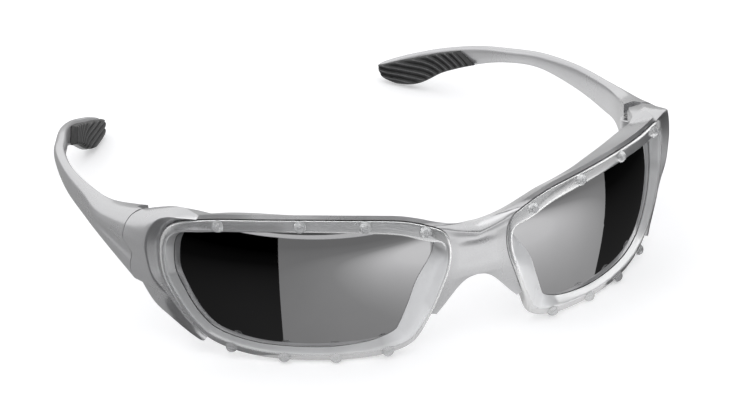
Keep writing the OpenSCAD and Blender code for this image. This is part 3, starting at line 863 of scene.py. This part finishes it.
def at_temple(t, w, v):
    """Point of a temple at t, w out from its middle line and v up from it."""
    step = 0.05
    way = unit(path_point(min(PATH_N, t + step)) - path_point(max(0, t - step)))
    along = unit(mix(np.array([0, 1, 0]), way, smooth(t / 0.8)))
    out = unit(np.cross(along, [0, 0, 1]))
    return path_point(t) + w * out + v * np.cross(out, along)


def tip_share(t):
    """What the rounded end leaves of the height."""
    k = max(0, (t - PATH_N + TIP_ROUND) / TIP_ROUND)
    return (1 - TIP_CUT * k ** 1.9) ** 0.6


def tip_width(t):
    """What it leaves of the thickness."""
    return mix(1, tip_share(t), 0.5)


def tip_lift(t):
    """The end rounds off from below: what is left of it stays up."""
    return 0.8 * through(TEMPLE_H, t) / 2 * (1 - tip_share(t))


def signed(v, power):
    return math.copysign(abs(v) ** power, v)


def slim_shape():
    """Section of a temple away from the joint: an oval outer side and a flat inner side."""
    oval = [math.radians(a) for a in (86, 66, 48, 30, 13, -3, -20, -38, -58, -80)]
    flat = [math.radians(a) for a in (-80, -62, -46, -30, -12, 12, 30, 46, 62, 80)]
    return np.array([(math.cos(a) ** 0.7, signed(math.sin(a), 0.8)) for a in oval]
                    + [(-math.cos(a) ** 0.45, signed(math.sin(a), 0.8)) for a in flat])


ROOT = np.concatenate([ROOT_OUT, ROOT_IN])
SLIM = slim_shape()


def temple_section(t, more):
    h = through(TEMPLE_H, t) / 2 * tip_share(t)
    w = through(TEMPLE_T, t) / 2
    shape = mix(ROOT, SLIM, smooth((t - 0.4) / 3.6))
    ring = [through(shape, i / more, True) for i in range(len(shape) * more)]
    return [at_temple(t, p[0] * w * tip_width(t), p[1] * h + tip_lift(t))
            for p in reversed(ring)]


def temple_shape():
    """The left temple with the outer knuckles of its hinge and the room for the middle one."""
    steps, more = ((120, 4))
    stations = [0, 0.06, 0.12] + [(PATH_N - TIP_ROUND) * i / steps for i in range(2, steps)]
    stations += [PATH_N + TIP_ROUND * (math.sin(math.radians(a)) - 1) for a in range(0, 90, 6)]
    stations += [PATH_N]
    far, behind = 20, 0.1
    notch = AXIS + (KNUCKLE_D / 2 + 0.4, KNUCKLE_D / 2 + 0.3, far)
    cuts = [("UNION", tube(AXIS, KNUCKLE_D / 2, z, z + FORK_H)) for z in (FORK_IN, -FORK_OUT)]
    cuts += [("DIFFERENCE", tube(AXIS, SWEEP, -FORK_IN, FORK_IN)),
             ("DIFFERENCE", block(AXIS + (-far, -far, -FORK_IN), AXIS + (SWEEP, 0, FORK_IN))),
             ("DIFFERENCE", block(AXIS + (-far, -behind, -FORK_IN), AXIS + (0, SWEEP, FORK_IN))),
             ("DIFFERENCE", block(AXIS + (-far, -far, FORK_OUT), notch)),
             ("DIFFERENCE", tube(AXIS, SCREW_D / 2 + PIN_GAP, -far, far, 32))]
    return combine(loft([temple_section(t, more) for t in stations]), cuts)


both_sides("temple", "temple_{}_body", *temple_shape(), silver, "silver_temples", sharp=40)

# Rubber pads: where they start and end on the path, how their stations lean at the front end,
# and their upper edge as a share of the temple's half height
PAD_FROM = PATH_N * (1 - 1.07 * PAD_L / TEMPLE_L)
PAD_TO = PATH_N - 0.012
PAD_LEAN = 0.07
PAD_TOP = 0.84
PAD_IN = 0.25           # how far a pad stays inside the temple's edge
SHARE_AT_EDGE = 0.45    # of the thickness
# Shares of the height over which the edges round off and the ribs fade, and of the length over
# which both ends do
EDGE_ROUND, RIB_FADE = 0.14, 0.06
FRONT_FADE, REAR_FADE = 0.02, 0.05
END_SHARE = 0.08        # the last part, where the stations close up round the end

# Their ribs are arcs round a point near the temple's end and below it, of this step, and
# flattened along the temple
ARC_S, ARC_V = 2.3, -14.8
ARC_FROM, ARC_STEP, ARC_FLAT = 11.9, 1.72, 0.8
# Shares of a step: a rib's rise and its fall, the place of the highlight painted along its edge,
# and how wide that is
RIB_RISE, RIB_DROP = 0.62, 0.2
PAINTED_HIGHLIGHT_AT, PAINTED_HIGHLIGHT_WIDE = 0.74, 0.08


def path_lengths(steps=200):
    """Places on the path, and the length from each to the temple's end."""
    ts = [mix(PAD_FROM - 1, PATH_N, i / steps) for i in range(steps + 1)]
    spots = np.array([path_point(t) for t in ts])
    gaps = np.linalg.norm(np.diff(spots, axis=0), axis=1)
    return ts, np.concatenate([np.cumsum(gaps[::-1])[::-1], [0]])


PATH_T, PATH_LEFT = path_lengths()


def rib_at(t, v):
    """Height of the ribs, 0 to 1, at a place on the pad, and how near it is to a rib's edge, where
    a highlight is painted.
    """
    s = np.interp(t, PATH_T, PATH_LEFT)
    r = math.hypot(ARC_FLAT * (s - ARC_S), v - ARC_V)
    f = ((r - ARC_FROM) / ARC_STEP) % 1
    return (smooth(f / RIB_RISE) * smooth((1 - f) / RIB_DROP),
            math.exp(-((f - PAINTED_HIGHLIGHT_AT) / PAINTED_HIGHLIGHT_WIDE) ** 2))


def pad_section(k, across):
    """Section of a pad at share k of its length, and how much painted highlight each of its points
    gets.
    """
    t, lean = mix(PAD_FROM, PAD_TO, k), PAD_LEAN * (1 - k)
    half = (through(TEMPLE_H, t) / 2 - PAD_IN) * tip_share(t)
    back = -through(TEMPLE_T, t) / 2 * tip_width(t) - SEAT_GAP
    ends = smooth(k / FRONT_FADE) * smooth((1 - k) / REAR_FADE)
    points, painted_highlight = [], []
    for i in range(across + 1):
        v = mix(PAD_TOP, -1, i / across)
        side = min(PAD_TOP - v, v + 1) / (1 + PAD_TOP)
        round_off = math.sqrt(1 - (1 - min(1, side / EDGE_ROUND)) ** 2)
        rib, rib_painted_highlight = rib_at(min(PATH_N, t + lean * v * half), v * half)
        rib *= smooth(side / RIB_FADE) * RIB_H
        points.append((back - PAD_T * mix(SHARE_AT_EDGE, 1, round_off * ends) - rib * ends, v))
        # How much highlight is painted at this point, along the rib's edge
        painted_highlight.append(rib_painted_highlight * ends * smooth(side / RIB_FADE))
    points += [(back, -1), (back, 0), (back, PAD_TOP)]
    painted_highlight += [0, 0, 0]
    return ([at_temple(min(PATH_N, t + lean * v * half), w, v * half + tip_lift(t))
             for w, v in points], painted_highlight)


pad_steps, pad_across = ((260, 40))
pad_shares = [(1 - END_SHARE) * i / pad_steps for i in range(pad_steps)]
pad_shares += [1 - END_SHARE * (1 - math.sin(math.radians(a))) for a in range(0, 91, 5)]
pad_sections, pad_painted_highlights = zip(*(pad_section(k, pad_across) for k in pad_shares))
# The rib edges carry a painted highlight, passed to the rubber through a point attribute
for pad in both_sides("temple_pad", "temple_{}_body", *loft(pad_sections), rubber, "pad_rubber",
                      sharp=60):
    mark_points(pad, "rib_painted_highlight", [w for row in pad_painted_highlights for w in row])

# Studs and screws keep their exact solids
for name, mat in (("rim_studs", glass), ("hinge_screw", steel)):
    for side in ("left", "right"):
        mesh = frame["nodes"][f"{name}_{side}"].data
        mesh.materials.clear()
        mesh.materials.append(mat)
        mesh.shade_smooth()
        mesh.set_sharp_from_angle(angle=math.radians(40))

# Camera: where the photograph was taken from, as worn and in millimetres
CAM_AZ, CAM_EL, CAM_ROLL = math.radians(-22.797), math.radians(21.284), math.radians(-3.7025)
CAM_AIM = np.array([-26.867, 0, 17.695])
CAM_DIST = 517.698
FOCAL_PX, WIDTH_PX, SENSOR = 2300, 730, 36


def photo_camera():
    away = np.array([math.sin(CAM_AZ) * math.cos(CAM_EL), -math.cos(CAM_AZ) * math.cos(CAM_EL),
                     math.sin(CAM_EL)])
    right = unit(np.cross(-away, [0, 0, 1]))
    up = np.cross(right, -away)
    right, up = (right * math.cos(CAM_ROLL) + up * math.sin(CAM_ROLL),
                 -right * math.sin(CAM_ROLL) + up * math.cos(CAM_ROLL))
    data = bpy.data.cameras.new("camera")
    data.sensor_width = SENSOR
    data.lens = SENSOR * FOCAL_PX / WIDTH_PX
    data.clip_start, data.clip_end = 0.01, 20
    camera = bpy.data.objects.new("camera", data)
    turned = TURN @ np.column_stack([right, up, away])
    place = Matrix([list(row) + [0] for row in turned] + [[0, 0, 0, 1]])
    place.translation = Vector(seated(CAM_AIM + away * CAM_DIST))
    camera.matrix_world = place
    scene.collection.objects.link(camera)
    scene.camera = camera


photo_camera()


# Floor, world, cards and lamps, in metres on the table. What the camera and the shiny pieces
# see of the floor and the world is white; the cards are what a dark studio holds round a shiny
# piece, seen only in it.

def seen(tree):
    """1 for rays from the camera, from gloss and through the clear plastic."""
    path = tree.nodes.new("ShaderNodeLightPath")
    total = path.outputs["Is Camera Ray"]
    for name in ("Is Glossy Ray", "Is Transmission Ray"):
        total = add_up(tree, total, path.outputs[name], clamped=True)
    return total


def stage_floor():
    reach = 3
    points = [(-reach, -reach, 0), (reach, -reach, 0), (reach, reach, 0), (-reach, reach, 0)]
    floor = make("floor", points, [(0, 1, 2, 3)], sharp=None)
    mat, tree, shader = material("floor_pale", Roughness=0.9, Specular_IOR_Level=0.1)
    tree.links.new(tones(tree, noise(tree, 30, 3), grey(0.8), grey(0.82)),
                   shader.inputs["Base Color"])
    shader.inputs["Emission Color"].default_value = (1, 1, 1, 1)
    tree.links.new(span(tree, seen(tree), 0, 0.34, 0, 1), shader.inputs["Emission Strength"])
    floor.data.materials.append(mat)


def card(name, corners, stops, along=None, centre=None, faces=None):
    """A card that only gloss and clear plastic see. Its stops are greys at distances in metres,
    along a direction or away from a centre."""
    obj = make(name, corners, faces or [tuple(range(len(corners)))], sharp=None)
    obj.visible_camera = obj.visible_diffuse = obj.visible_shadow = False
    obj.visible_volume_scatter = False
    mat = bpy.data.materials.new(name)
    mat.use_nodes = True
    tree = mat.node_tree
    tree.nodes.clear()
    coords = tree.nodes.new("ShaderNodeTexCoord")
    how = tree.nodes.new("ShaderNodeVectorMath")
    how.operation = "DISTANCE" if centre else "DOT_PRODUCT"
    how.inputs[1].default_value = centre or along
    tree.links.new(coords.outputs["Object"], how.inputs[0])
    first, last = stops[0][0], stops[-1][0]
    share = span(tree, how.outputs["Value"], 0, 1, first, last)
    shares = [((at - first) / (last - first), grey(v)) for at, v in stops]
    glow = tree.nodes.new("ShaderNodeEmission")
    tree.links.new(ramp(tree, share, shares), glow.inputs["Color"])
    out = tree.nodes.new("ShaderNodeOutputMaterial")
    tree.links.new(glow.outputs["Emission"], out.inputs["Surface"])
    obj.data.materials.append(mat)


def wall_card(name, reach, low, high, tone):
    """A band of dark card round the front half."""
    steps = 32
    turns = [math.pi * i / steps for i in range(steps + 1)]
    points = [(reach * math.cos(t), -reach * math.sin(t), z) for z in (low, high) for t in turns]
    faces = [(i, i + 1, steps + i + 2, steps + i + 1) for i in range(steps)]
    card(name, points, [(0, tone), (1, tone)], along=(0, 0, 1), faces=faces)


def on_floor(*spots):
    """Corners just over the floor."""
    return [(*spot, 0.0006) for spot in spots]


def floor_cards():
    """Cards that meet under the rims: a dark one on each side, with light ones before and
    behind. A lens mirrors the line between two of them as a straight edge."""
    far = 2.0
    left, right = (-0.046, -0.063), (0.041, -0.065)
    left_inner, right_inner = (-0.066, -0.04), (0.05, -0.045)
    left_front = (left[0] - 0.67 * far, left[1] - 0.75 * far)
    left_back = (left[0] - far, 0.0)
    right_front = (right[0] + 0.967 * far, right[1] - 0.25 * far)
    right_back = (right[0] + far, 0.9)
    dark = [(0, 0.035), (0.04, 0.025), (0.1, 0.006), (0.2, 0), (1, 0)]
    card("card_left", on_floor(left, left_front, left_back, left_inner), dark, centre=(*left, 0))
    card("card_right", on_floor(right_front, right, right_inner, right_back), dark,
         centre=(*right, 0))
    card("card_front",
         on_floor(left_front, left, right, right_front, (right_front[0], left_front[1])),
         [(0, 1.3), (0.045, 1.2), (0.08, 0.8), (0.105, 0.5), (0.15, 0.36), (0.3, 0.3)],
         centre=(0.045, -0.165, 0))
    card("card_back",
         on_floor(left_back, left_inner, left, right, right_inner, right_back,
                  (far, far), (-far, far)),
         [(0, 0.95), (0.025, 0.9), (0.055, 0.4), (0.1, 0.34), (1, 0.34)],
         centre=(0.035, 0.02, 0))


def studio_world():
    """A plain soft light, and white for the rays that see it."""
    world = bpy.data.worlds.new("studio")
    scene.world = world
    world.use_nodes = True
    nodes, links = world.node_tree.nodes, world.node_tree.links
    plain = nodes["Background"]
    plain.inputs["Color"].default_value = (0.97, 0.975, 1.0, 1)
    plain.inputs["Strength"].default_value = 0.78
    white = nodes.new("ShaderNodeBackground")
    white.inputs["Color"].default_value = (1, 1, 1, 1)
    white.inputs["Strength"].default_value = 1
    both = nodes.new("ShaderNodeMixShader")
    links.new(seen(world.node_tree), both.inputs["Fac"])
    links.new(plain.outputs["Background"], both.inputs[1])
    links.new(white.outputs["Background"], both.inputs[2])
    links.new(both.outputs["Shader"], nodes["World Output"].inputs["Surface"])


def lamp(name, place, aim, size, power):
    data = bpy.data.lights.new(name, "AREA")
    data.shape, data.size, data.energy = "DISK", size, power
    obj = bpy.data.objects.new(name, data)
    obj.location = place
    obj.rotation_euler = (Vector(aim) - Vector(place)).to_track_quat("-Z", "Y").to_euler()
    scene.collection.objects.link(obj)


stage_floor()
floor_cards()
wall_card("card_round", 1.2, 0.05, 0.5, 0.14)
studio_world()
lamp("top_soft", (-0.1, -0.1, 0.7), (0, 0, 0), 1.0, 1.5)
lamp("front_left", (-0.5, -0.6, 0.5), (0, 0, 0.02), 0.8, 0.7)
lamp("left_back", (-0.6, 0.35, 0.35), (0, 0, 0.02), 0.5, 0.12)

scene.view_settings.view_transform = "Standard"

bpy.context.view_layer.update()
